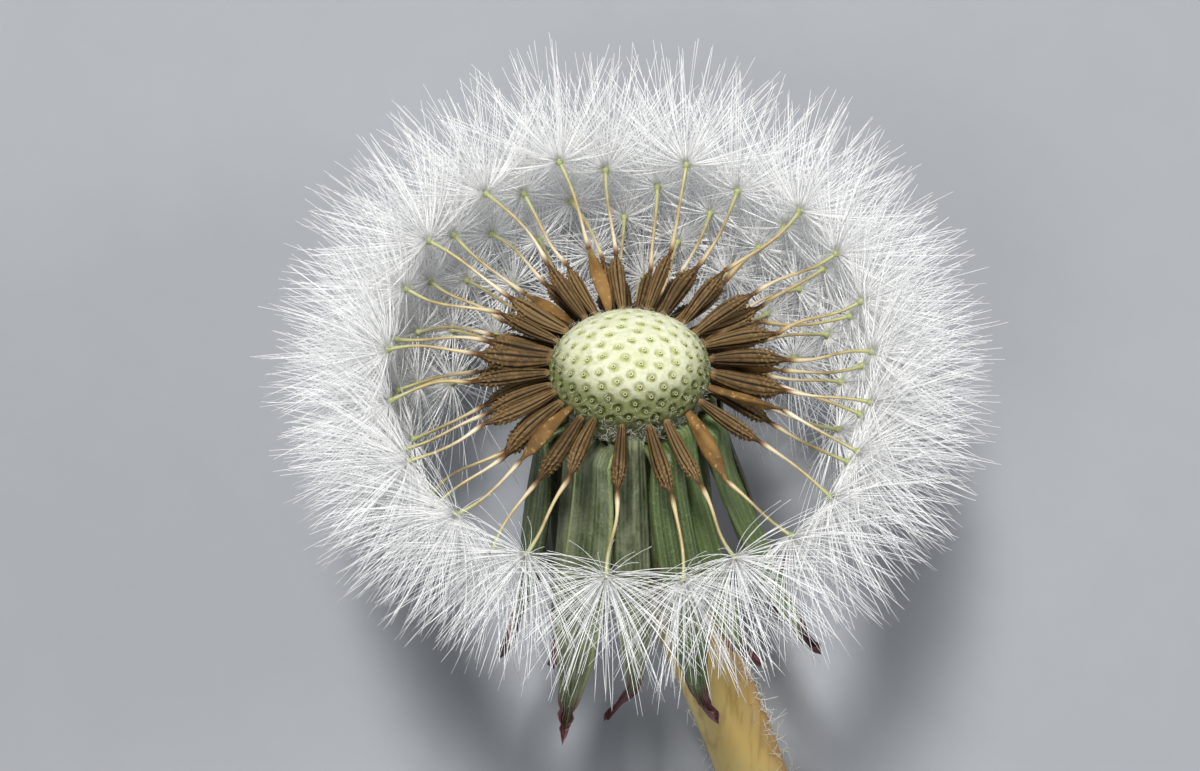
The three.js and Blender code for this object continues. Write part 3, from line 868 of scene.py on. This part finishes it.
def beak_growth(values):
    """Runs a thin bowed tube from each achene's tip to its parachute."""
    tree = Growth("beak_growth", values)
    line = tree.out("GeometryNodeCurvePrimitiveLine", {"Start": (0, 0, 0), "End": (0, 0, 1)})
    line = tree.out("GeometryNodeResampleCurve", {"Curve": line, "Count": BEAK_STEPS})
    run = tree.read_vector("run")
    length = tree.measure("LENGTH", run)
    scale = tree.combine(length, length, length)
    lines = tree.real(tree.instance(tree.inputs["Geometry"], line, tree.facing(run), scale))
    share = tree.out("GeometryNodeSplineParameter", output="Factor")
    lines = tree.store(lines, "along", share)
    arch = tree.read_vector("bow") * tree.math("SINE", share * math.pi)
    snake = tree.read_vector("snake") * tree.math("SINE", share * (2 * math.pi))
    bowed = tree.move(lines, arch + snake)
    radius = tree.ramp(share, 0.0, 0.3, BEAK_START, BEAK_WAIST)
    radius = radius + tree.ramp(share, 0.7, 1.0, 0.0, BEAK_END - BEAK_WAIST)
    bowed = tree.out("GeometryNodeSetCurveRadius", {"Curve": bowed, "Radius": radius})
    profile = tree.out("GeometryNodeCurvePrimitiveCircle", {"Resolution": BEAK_SIDES, "Radius": 1.0})
    return tree.finish(tree.out("GeometryNodeCurveToMesh", {
        "Curve": bowed, "Profile Curve": profile, "Scale": radius, "Fill Caps": True}))


class DANDELION_OT_beaks(bpy.types.Operator):
    """Grow the thin beaks that carry the parachutes"""

    bl_idname = "dandelion.beaks"
    bl_label = "Beaks"

    def execute(self, context):
        sizes = context.scene.dandelion_sizes
        achenes = [Achene(seed, sizes.achene_tilt) for seed in SEEDS]
        base = make_mesh(
            "beak_starts", [achene.tip for achene in achenes],
            run=[achene.hub - achene.tip for achene in achenes],
            bow=[achene.bow * sizes.beak_bow * spread(achene.index, 31) for achene in achenes],
            snake=[achene.snake * sizes.beak_bow * spread(achene.index, 33) for achene in achenes],
            tone=[draw(achene.index, 32) for achene in achenes])
        tree = beak_growth({"Material": beak_finish(context.scene.dandelion_colours)})
        register_piece(tree.grow("beaks", base), "beak", "receptacle_with_achenes")
        return {"FINISHED"}


# ---------------------------------------------------------------- parachutes

PARACHUTE_GROUPS = 4
HAIR_ROWS = 8
HAIR_TAPER = 0.5
HAIR_ROOT_TAPER = 0.6
HAIR_LEAST_ANGLE = math.radians(8)
HAIR_WIDEST_ANGLE = math.radians(107)
HAIR_CURL = 0.32
HAIR_WAVE = 0.55
HAIR_WAVE_SCALE = 300.0
HAIR_STRAY = 0.05
LOCK_BANDS = 4
LOCK_SECTORS = 6
LOCK_TWIST = 0.4
LOCK_PULL = 0.62
COLLAR = ((0.1, -0.3), (0.21, -0.16), (0.25, -0.04), (0.22, 0.05), (0.15, 0.1), (0.06, 0.07))
COLLAR_COLUMNS = 12


def hair_mesh():
    """A hair of unit length and unit root radius, three-sided, with small barbs to its tip."""
    rows, along = [], []
    for row in range(HAIR_ROWS + 1):
        share = row / HAIR_ROWS
        points = []
        for side in range(3):
            barb = 0.5 if row % 3 == side and 0 < row < HAIR_ROWS else 0.0
            root = 1 - HAIR_ROOT_TAPER * (1 - smoothstep(share, 0.0, 0.28))
            radius = root * (1 - HAIR_TAPER * share) * (1 + barb)
            angle = 2 * math.pi * side / 3
            points.append(Vector((radius * math.cos(angle), radius * math.sin(angle), share)))
            along.append(share)
        rows.append(points)
    return lathe_mesh("hair", rows, along=along)


def spray_cosine(tree, share):
    """The cosine of a hair's angle from its beak, evened out over the parachute."""
    least, widest = math.cos(HAIR_LEAST_ANGLE), math.cos(HAIR_WIDEST_ANGLE)
    return tree.ramp(share, 0.0, 1.0, least, widest, smooth=False)


def end_of(tree, rotation):
    """The direction that a rotation gives to local Z."""
    return tree.out("FunctionNodeRotateVector", {"Vector": (0, 0, 1), "Rotation": rotation})


def lock_guide(tree, way, share, turn):
    """The direction of the lock that a hair's tip is drawn to."""
    band = tree.math("FLOOR", share * LOCK_BANDS)
    twist = band * LOCK_TWIST
    sector = 2 * math.pi / LOCK_SECTORS
    centre = (tree.math("FLOOR", (turn + twist) / sector) + 0.5) * sector - twist
    polar = tree.math("ARCCOSINE", spray_cosine(tree, (band + 0.5) / LOCK_BANDS))
    return end_of(tree, tree.leaning(tree.facing(way), centre, polar))


def pappus_growth(values):
    """Sprays hairs from each hub, bent into locks and lying along the table where they meet it."""
    tree = Growth("pappus_growth", values)
    count = tree.inputs["Hairs"]
    copies = tree.add("GeometryNodeDuplicateElements", {
        "Geometry": tree.inputs["Geometry"], "Amount": count}, domain="POINT").outputs
    number = Value(tree, copies["Duplicate Index"])
    share = (number + 0.5) / count
    way = tree.read_vector("way")
    turn = number * GOLDEN_ANGLE + tree.read("phase")
    polar = tree.math("ARCCOSINE", spray_cosine(tree, share)) + tree.random(-0.1, 0.1)
    rotation = tree.leaning(tree.facing(way), turn, polar)
    straight = end_of(tree, rotation)
    length = tree.inputs["Length"] * tree.random(0.74, 1.0, 1)
    middle = tree.out("GeometryNodeInputPosition") + straight * (length * 0.85)
    noise = {"Vector": middle, "Scale": HAIR_WAVE_SCALE, "Detail": 1.0}
    wave = (tree.out("ShaderNodeTexNoise", noise, "Color") - (0.5, 0.5, 0.5)) * HAIR_WAVE
    stray = tree.random((-HAIR_STRAY,) * 3, (HAIR_STRAY,) * 3)
    lean = way * HAIR_CURL + (wave + stray)
    lean = lean - straight * tree.measure("DOT_PRODUCT", lean, straight)
    pull = tree.random(0.5, 1.0, 2) * LOCK_PULL
    lean = lean + (lock_guide(tree, way, share, turn) - straight) * pull
    points = tree.store(Value(tree, copies["Geometry"]), "lean", lean * length)
    hairs = tree.threads(points, rotation, length)
    bend = tree.math("POWER", tree.read("along"), 1.5)
    hairs = tree.move(hairs, tree.read_vector("lean") * bend)
    height = tree.out("ShaderNodeSeparateXYZ", {0: tree.out("GeometryNodeInputPosition")}, "Z")
    under = tree.math("MAXIMUM", tree.math("SUBTRACT", 0.0, height), 0.0)
    return tree.finish(tree.move(hairs, tree.combine(0.0, 0.0, under)))


def hub_mesh(seeds):
    """A point at the end of each seed's beak, facing away from the crown."""
    return make_mesh(
        "hubs", [seed.hub for seed in seeds], way=[seed.way for seed in seeds],
        phase=[2 * math.pi * draw(seed.index, 41) for seed in seeds])


class DANDELION_OT_pappus(bpy.types.Operator):
    """Grow a parachute of fine hairs on every beak, and its collar"""

    bl_idname = "dandelion.pappus"
    bl_label = "Parachutes"

    def execute(self, context):
        sizes = context.scene.dandelion_sizes
        hair = hidden_shape(hair_mesh())
        material = hair_finish(context.scene.dandelion_colours)
        for group in range(PARACHUTE_GROUPS):
            tree = pappus_growth({
                "Hair": hair,
                "Hairs": sizes.hairs,
                "Length": sizes.hair_length,
                "Thickness": sizes.hair_thickness,
                "Seed": group,
                "Material": material,
            })
            piece = tree.grow(f"parachutes_{group + 1}", hub_mesh(SEEDS[group::PARACHUTE_GROUPS]))
            register_piece(piece, "pappus", "pappus")
        discard(hair)
        self.add_collars(context)
        return {"FINISHED"}

    def add_collars(self, context):
        """Sets the knob that holds the hairs at the end of each beak."""
        rows = [ring(radius * MM, height * MM, COLLAR_COLUMNS) for radius, height in COLLAR]
        along = np.repeat(np.linspace(0, 1, len(COLLAR)), COLLAR_COLUMNS)
        knob = hidden_shape(lathe_mesh("knob", rows, along=along))
        material = collar_finish(context.scene.dandelion_colours)
        tree = Growth("collar_growth", {"Knob": knob, "Material": material})
        rotation = tree.facing(tree.read_vector("way"))
        tree.finish(tree.instance(tree.inputs["Geometry"], tree.shape_of("Knob"), rotation))
        register_piece(tree.grow("parachute_collars", hub_mesh(SEEDS)), "beak", "pappus")
        discard(knob)


# ---------------------------------------------------------------- bracts

BRACT_ROWS = 46
BRACT_COLUMNS = 19
BRACT_THICKNESS = 0.4 * MM
BRACT_EDGE = 0.14 * MM
BRACT_FOLD = 0.62 * MM

# Where each layer leaves the drum, as radius and height from there out to its top
NECKS = (
    ((3.7 * MM, -2.5 * MM), (4.35 * MM, -2.15 * MM), (4.75 * MM, -2.1 * MM)),
    ((3.7 * MM, -3.1 * MM), (4.7 * MM, -2.85 * MM), (5.5 * MM, -2.85 * MM)),
    ((2.6 * MM, -3.7 * MM), (3.0 * MM, -3.6 * MM), (3.25 * MM, -3.65 * MM)),
)


def flare_at(azimuth):
    """How far the bracts at an azimuth lean out from the stem."""
    return FLARE_MEAN + FLARE_RIGHT * math.cos(azimuth) - FLARE_FRONT * math.sin(azimuth)


def inner_bract(index):
    layer = index % 2
    azimuth = index * 2 * math.pi / INNER_BRACTS
    clear_of_surface = (1 - math.sin(azimuth)) / 2
    vary = draw(index, 5)
    curl = 25 + 45 * draw(index, 4) if layer else -10 - 15 * draw(index, 4)
    return {
        "azimuth": azimuth,
        "radius": (5.95 if layer else 4.95) * MM,
        "top": (-3.2 if layer else -2.35) * MM,
        "length": (17 + (0.5 + 3 * draw(index, 3)) * clear_of_surface) * MM,
        "width": (3.2 if layer else 3.0) * MM,
        "flare": flare_at(azimuth) + math.radians(1 + 2 * vary if layer else -2 * vary),
        "curl": math.radians(curl) * clear_of_surface,
        "sway": math.radians(8 * (draw(index, 6) - 0.5)),
        "neck": NECKS[layer],
        "fold": BRACT_FOLD * (0.7 + 0.6 * draw(index, 56)),
        "seed": index,
    }


def outer_bract(index):
    azimuth = (index + 0.5) * 2 * math.pi / OUTER_BRACTS
    return {
        "azimuth": azimuth,
        "radius": 3.4 * MM,
        "top": -3.85 * MM,
        "length": (6.5 + 4 * draw(index, 7)) * MM,
        "width": 1.35 * MM,
        "flare": 0.6 * flare_at(azimuth),
        "curl": 0.0,
        "sway": 0.0,
        "neck": NECKS[2],
        "fold": 0.3 * BRACT_FOLD,
        "seed": 40 + index,
    }


def bract_width(width, share):
    swell = math.sin(math.pi * (0.22 + 0.78 * share))
    return width * (0.15 + 0.85 * max(0.0, swell) ** 0.8)


def bract_line(bract):
    """The middle line of a bract, as share, radius, height and lean at each row."""
    hook = math.radians(30 + 50 * draw(bract["seed"], 57)) * (1 - math.sin(bract["azimuth"])) / 2

    def lean_at(share):
        opened = bract["flare"] * smoothstep(share, -0.1, 0.3)
        return opened + bract["curl"] * smoothstep(share, 0.72, 1) + hook * smoothstep(share, 0.88, 1)

    neck = [(0.0, radius, z, math.radians(80 - 25 * i)) for i, (radius, z) in enumerate(bract["neck"])]
    line = [(0.0, bract["radius"], bract["top"], lean_at(0))]
    step = bract["length"] / (BRACT_ROWS - 1)
    for row in range(1, BRACT_ROWS):
        lean = lean_at((row - 0.5) / (BRACT_ROWS - 1))
        _, radius, z, _ = line[-1]
        share = row / (BRACT_ROWS - 1)
        line.append((share, radius + step * math.sin(lean), z - step * math.cos(lean), lean_at(share)))
    return neck + line


def bract_lift(bract, share, u):
    """How far a point across a folded bract stands off its middle line."""
    seed = bract["seed"]
    open_share = 1 - 0.55 * smoothstep(share, 0.55, 0.9)
    valley = (abs(u) ** 1.25 - 0.45) * (1 if seed % 2 else -0.8)
    margin = -0.5 * smoothstep(abs(u), 0.8, 1)
    pleat = 0.16 * math.cos(math.pi * (3.2 * u + 2 * draw(seed, 53)))
    wave = 0.22 * math.sin(7 * share + 5 * draw(seed, 54)) * u
    cup = 0.9 * smoothstep(share, 0.74, 0.95) * (u * u - 0.3)
    return bract["fold"] * ((valley + margin + pleat) * open_share + wave + cup)


def bract_mesh(name, bract):
    """A bract as a thin closed leaf, folded along its midrib, with a curled and ragged tip."""
    seed = bract["seed"]
    rows, along, across = [], [], []
    for row, (share, radius, z, lean) in enumerate(bract_line(bract)):
        ragged = 1 + 0.42 * smoothstep(share, 0.8, 0.97) * spread(seed * 97 + row, 51)
        narrow = 1 - 0.12 * draw(seed, 58) - 0.25 * smoothstep(share, 0.7, 0.9)
        half = bract_width(bract["width"], share) / 2 * ragged * narrow / radius
        azimuth = bract["azimuth"] + bract["sway"] * share ** 2
        azimuth += math.radians(2.2) * math.sin(4.5 * share + 6 * draw(seed, 52)) * share
        swirl = math.radians(14) * spread(seed, 59) * smoothstep(share, 0.85, 1)
        body = BRACT_THICKNESS * (1 - 0.6 * smoothstep(share, 0.7, 1))
        points = []
        for side in (1, -1):
            for column in range(BRACT_COLUMNS):
                u = side * (1 - 2 * column / (BRACT_COLUMNS - 1))
                thick = BRACT_EDGE + max(0.0, body - BRACT_EDGE) * (1 - u * u)
                lift = side * thick / 2 + bract_lift(bract, share, u)
                turn = azimuth + swirl + u * half
                r = radius + lift * math.cos(lean)
                height = z + lift * math.sin(lean)
                points.append(HEAD @ Vector((r * math.cos(turn), r * math.sin(turn), height)))
                along.append(share)
                across.append(u)
        rows.append(points)
    fresh = smoothstep(math.cos(bract["azimuth"]) + 0.7 * spread(seed, 60), 0, 0.9)
    mesh = lathe_mesh(
        name, rows, along=along, across=across,
        vein=[0.5 + 0.5 * math.cos(9 * math.pi * u) for u in across],
        tone=[draw(seed, 55)] * len(across), fresh=[fresh] * len(across))
    mesh.shade_smooth()
    return mesh


class DANDELION_OT_bracts(bpy.types.Operator):
    """Grow the bracts that hang back round the stem"""

    bl_idname = "dandelion.bracts"
    bl_label = "Bracts"

    def execute(self, context):
        material = bract_finish(context.scene.dandelion_colours)
        kinds = (("inner_bract", INNER_BRACTS, inner_bract), ("outer_bract", OUTER_BRACTS, outer_bract))
        for kind, count, rule in kinds:
            for index in range(count):
                node = f"{kind}_{index + 1:02d}"
                mesh = bract_mesh(node + "_leaf", rule(index))
                mesh.materials.append(material)
                register_piece(place(node + "_leaf", mesh), kind, node)
        return {"FINISHED"}


# ---------------------------------------------------------------- stem

STEM_ROWS = 90
STEM_COLUMNS = 60
STEM_PLAY = 0.05 * MM


def stem_route():
    """Points, forward directions and sideways directions along the stem, from the head down."""
    top = HEAD_CENTRE + HEAD_AXIS * STEM_TOP_Z
    handles = [
        top, top - HEAD_AXIS * STEM_TOP_HANDLE,
        Vector((HEAD_CENTRE.x + STEM_END_HANDLE[0], HEAD_CENTRE.y + STEM_END_HANDLE[1], STEM_RADIUS)),
        Vector((HEAD_CENTRE.x + STEM_END[0], HEAD_CENTRE.y + STEM_END[1], STEM_RADIUS))]
    route = []
    for row in range(STEM_ROWS):
        t = row / (STEM_ROWS - 1)
        s = 1 - t
        weights = (s ** 3, 3 * s * s * t, 3 * s * t * t, t ** 3)
        slopes = (-3 * s * s, 3 * s * s - 6 * s * t, 6 * s * t - 3 * t * t, 3 * t * t)
        point = sum((h * w for h, w in zip(handles, weights)), Vector())
        forward = sum((h * w for h, w in zip(handles, slopes)), Vector()).normalized()
        right = forward.cross(Vector((0, 0, 1))).normalized()
        route.append((point, forward, -right))
    return route


def out_of_stem(forward, right, column):
    """The direction out of the stem at a column; columns run from its right down round it."""
    angle = 2 * math.pi * column / STEM_COLUMNS
    return right * math.cos(angle) + right.cross(forward) * math.sin(angle)


def stem_wall(route, radius, ribbed):
    """The points of one wall of the stem."""
    points = []
    for row, (point, forward, right) in enumerate(route):
        for column in range(STEM_COLUMNS):
            angle = 2 * math.pi * column / STEM_COLUMNS
            rib = 0.018 * MM * math.cos(11 * angle + 0.4 * math.sin(0.07 * row))
            swell = 0.03 * MM * math.sin(0.16 * row + 2 * angle)
            reach = radius + (rib + swell - STEM_PLAY if ribbed else 0)
            points.append(point + out_of_stem(forward, right, column) * reach)
    return points


def stem_mesh():
    """The hollow stem: outer skin down to the cut, then back up the bore and out to the start."""
    route = stem_route()
    skin = stem_wall(route, STEM_RADIUS, True)
    bore = stem_wall(route[::-1], STEM_RADIUS - STEM_WALL, False)
    count = len(skin) + len(bore)
    faces = grid_faces(2 * len(route) + 1, STEM_COLUMNS, flipped=True)
    # This mask marks the stem's right side, which the finish paints darker orange as tint and painted
    # shade.
    around = [0.5 + 0.5 * math.cos(2 * math.pi * column / STEM_COLUMNS - 0.5)
              for column in range(STEM_COLUMNS)]
    mesh = make_mesh(
        "stem_skin", skin + bore, [tuple(corner % count for corner in face) for face in faces],
        around=around * (2 * len(route)), inner=[0.0] * len(skin) + [1.0] * len(bore))
    mesh.shade_smooth()
    return mesh


class DANDELION_OT_stem(bpy.types.Operator):
    """Grow the hollow stem down to its cut end"""

    bl_idname = "dandelion.stem"
    bl_label = "Stem"

    def execute(self, context):
        mesh = stem_mesh()
        mesh.materials.append(stem_finish(context.scene.dandelion_colours))
        register_piece(place("stem_skin", mesh), "stem", "stem")
        return {"FINISHED"}


# ---------------------------------------------------------------- down

DRUM_BAND = (0.0, 0.12, 0.24)
DRUM_BAND_COLUMNS = 48
CROWN_BAND = (20, 40, 60, 80, 96, 110)
CROWN_BAND_COLUMNS = 64


def down_growth(values):
    """Scatters short curling threads over the faces of a surface."""
    tree = Growth("down_growth", values)
    scattered = tree.add("GeometryNodeDistributePointsOnFaces", {
        "Mesh": tree.inputs["Geometry"], "Density": tree.inputs["Density"],
        "Seed": tree.inputs["Seed"]}).outputs
    upright = Value(tree, scattered["Rotation"])
    rotation = tree.leaning(upright, tree.random(0.0, 2 * math.pi), tree.random(0.8, 1.4, 1))
    length = tree.inputs["Length"] * tree.random(0.35, 1.0, 2)
    points = tree.store(Value(tree, scattered["Points"]), "hair_length", length)
    points = tree.store(points, "sway", tree.random((-0.5,) * 3, (0.5,) * 3))
    threads = tree.threads(points, rotation, length)
    along = tree.read("along")
    bend = tree.read("hair_length") * (along * tree.math("SINE", along * 4.0))
    return tree.finish(tree.move(threads, tree.read_vector("sway") * bend))


def drum_band():
    """The strip of the drum under the crown's edge, where wool grows."""
    rows = [ring(*drum_point(share), DRUM_BAND_COLUMNS) for share in DRUM_BAND]
    points = [HEAD @ point for row in rows for point in row]
    return make_mesh("drum_band", points, grid_faces(len(rows), DRUM_BAND_COLUMNS, flipped=True))


def crown_band():
    """The crown's face below its top, where cobwebby wool lies between the pits."""
    points = [HEAD @ crown_point(math.radians(angle), 2 * math.pi * column / CROWN_BAND_COLUMNS)
              for angle in CROWN_BAND for column in range(CROWN_BAND_COLUMNS)]
    faces = grid_faces(len(CROWN_BAND), CROWN_BAND_COLUMNS, flipped=True)
    return make_mesh("crown_band", points, faces)


def stem_band(first, last, rows):
    """A strip of the stem's skin between two columns, along the lower part."""
    route = stem_route()[slice(*rows)]
    points = [point + out_of_stem(forward, right, column) * (STEM_RADIUS - STEM_PLAY)
              for point, forward, right in route for column in range(first, last + 1)]
    faces = grid_faces(len(route), last - first + 1, closed=False, flipped=True)
    return make_mesh("stem_band", points, faces)


class DANDELION_OT_down(bpy.types.Operator):
    """Grow the wool under the crown and the cottony wisps on the stem"""

    bl_idname = "dandelion.down"
    bl_label = "Down"

    def execute(self, context):
        hair = hidden_shape(hair_mesh())
        material = down_finish()
        patches = (
            ("drum_wool", drum_band(), 1.4e7, 0.8 * MM, 0.03 * MM, "receptacle"),
            ("crown_wool", crown_band(), 4.2e6, 0.6 * MM, 0.016 * MM, "receptacle"),
            ("stem_wisps", stem_band(-9, 3, (40, 88)), 2.2e6, 1.5 * MM, 0.06 * MM, "stem"),
            ("stem_fringe", stem_band(27, 33, (44, 86)), 1.5e6, 0.9 * MM, 0.05 * MM, "stem"),
        )
        for seed, (name, surface, density, length, thickness, slot) in enumerate(patches, 7):
            tree = down_growth({
                "Hair": hair,
                "Density": density,
                "Length": length,
                "Thickness": thickness,
                "Seed": seed,
                "Material": material,
            })
            piece = tree.grow(name, surface)
            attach(piece, BODY)
        discard(hair)
        return {"FINISHED"}


# ---------------------------------------------------------------- stage

CAMERA_DISTANCE = 190 * MM
CAMERA_OFFSET = (-1.88 * MM, -0.97 * MM)
CAMERA_LENS = 91.2

# Each light: name, offset from the head's centre, size, power and tint
LIGHTS = (
    ("key", (-0.14, 0.60, 1.02), 0.2, 17.0, (1.0, 0.985, 0.955)),
    ("fill", (-0.42, -0.34, 0.92), 0.5, 3.4, (0.93, 0.965, 1.0)),
    ("rim", (0.86, 0.20, 0.42), 0.3, 3.6, (0.95, 0.97, 1.0)),
)
WORLD_TINT = (0.80, 0.86, 0.95, 1)
WORLD_STRENGTH = 0.07
FLOOR_RADIUS = 3


class DANDELION_OT_stage(bpy.types.Operator):
    """Set the table, the lights and the camera"""

    bl_idname = "dandelion.stage"
    bl_label = "Stage"

    def execute(self, context):
        self.add_floor(context)
        for light in LIGHTS:
            self.add_light(*light)
        world = bpy.data.worlds.new("studio")
        world.use_nodes = True
        background = world.node_tree.nodes["Background"]
        background.inputs["Color"].default_value = WORLD_TINT
        background.inputs["Strength"].default_value = WORLD_STRENGTH
        context.scene.world = world
        context.scene.view_settings.view_transform = "Standard"
        self.add_camera(context)
        return {"FINISHED"}

    def add_floor(self, context):
        bm = bmesh.new()
        bmesh.ops.create_circle(bm, cap_ends=True, segments=96, radius=FLOOR_RADIUS)
        mesh = bpy.data.meshes.new("table")
        bm.to_mesh(mesh)
        bm.free()
        mesh.materials.append(floor_finish(context.scene.dandelion_colours))
        place("table", mesh)

    def add_light(self, name, offset, size, power, tint):
        light = bpy.data.lights.new(name, "AREA")
        light.shape = "DISK"
        light.size = size
        light.energy = power
        light.color = tint
        lamp = bpy.data.objects.new(name, light)
        lamp.location = HEAD_CENTRE + Vector(offset)
        lamp.rotation_euler = (-Vector(offset)).to_track_quat("-Z", "Y").to_euler()
        bpy.context.scene.collection.objects.link(lamp)

    def add_camera(self, context):
        camera = bpy.data.objects.new("camera", bpy.data.cameras.new("camera"))
        camera.data.sensor_width = 36
        camera.data.lens = CAMERA_LENS
        camera.data.clip_start = 0.01
        camera.location = HEAD_CENTRE + Vector((*CAMERA_OFFSET, CAMERA_DISTANCE))
        context.scene.collection.objects.link(camera)
        context.scene.camera = camera


# ---------------------------------------------------------------- add-on

OPERATORS = (
    DANDELION_OT_stage,
    DANDELION_OT_receptacle,
    DANDELION_OT_achenes,
    DANDELION_OT_beaks,
    DANDELION_OT_pappus,
    DANDELION_OT_bracts,
    DANDELION_OT_stem,
    DANDELION_OT_down,
)


class DANDELION_PT_panel(bpy.types.Panel):
    """Lists the head's sizes, colours and pieces"""

    bl_idname = "DANDELION_PT_panel"
    bl_label = "Dandelion seed head"
    bl_space_type = "VIEW_3D"
    bl_region_type = "UI"
    bl_category = "Dandelion"

    def draw(self, context):
        for group in (context.scene.dandelion_sizes, context.scene.dandelion_colours):
            for title in group.__annotations__:
                self.layout.prop(group, title)
        for operator in OPERATORS:
            self.layout.operator(operator.bl_idname)


CLASSES = (DandelionSizes, DandelionColours, *OPERATORS, DANDELION_PT_panel)


def register():
    for cls in CLASSES:
        bpy.utils.register_class(cls)
    bpy.types.Scene.dandelion_sizes = PointerProperty(type=DandelionSizes)
    bpy.types.Scene.dandelion_colours = PointerProperty(type=DandelionColours)


def unregister():
    del bpy.types.Scene.dandelion_colours
    del bpy.types.Scene.dandelion_sizes
    for cls in reversed(CLASSES):
        bpy.utils.unregister_class(cls)


def main():
    register()
    for operator in OPERATORS:
        group, name = operator.bl_idname.split(".")
        getattr(getattr(bpy.ops, group), name)()


if __name__ == "__main__":
    main()
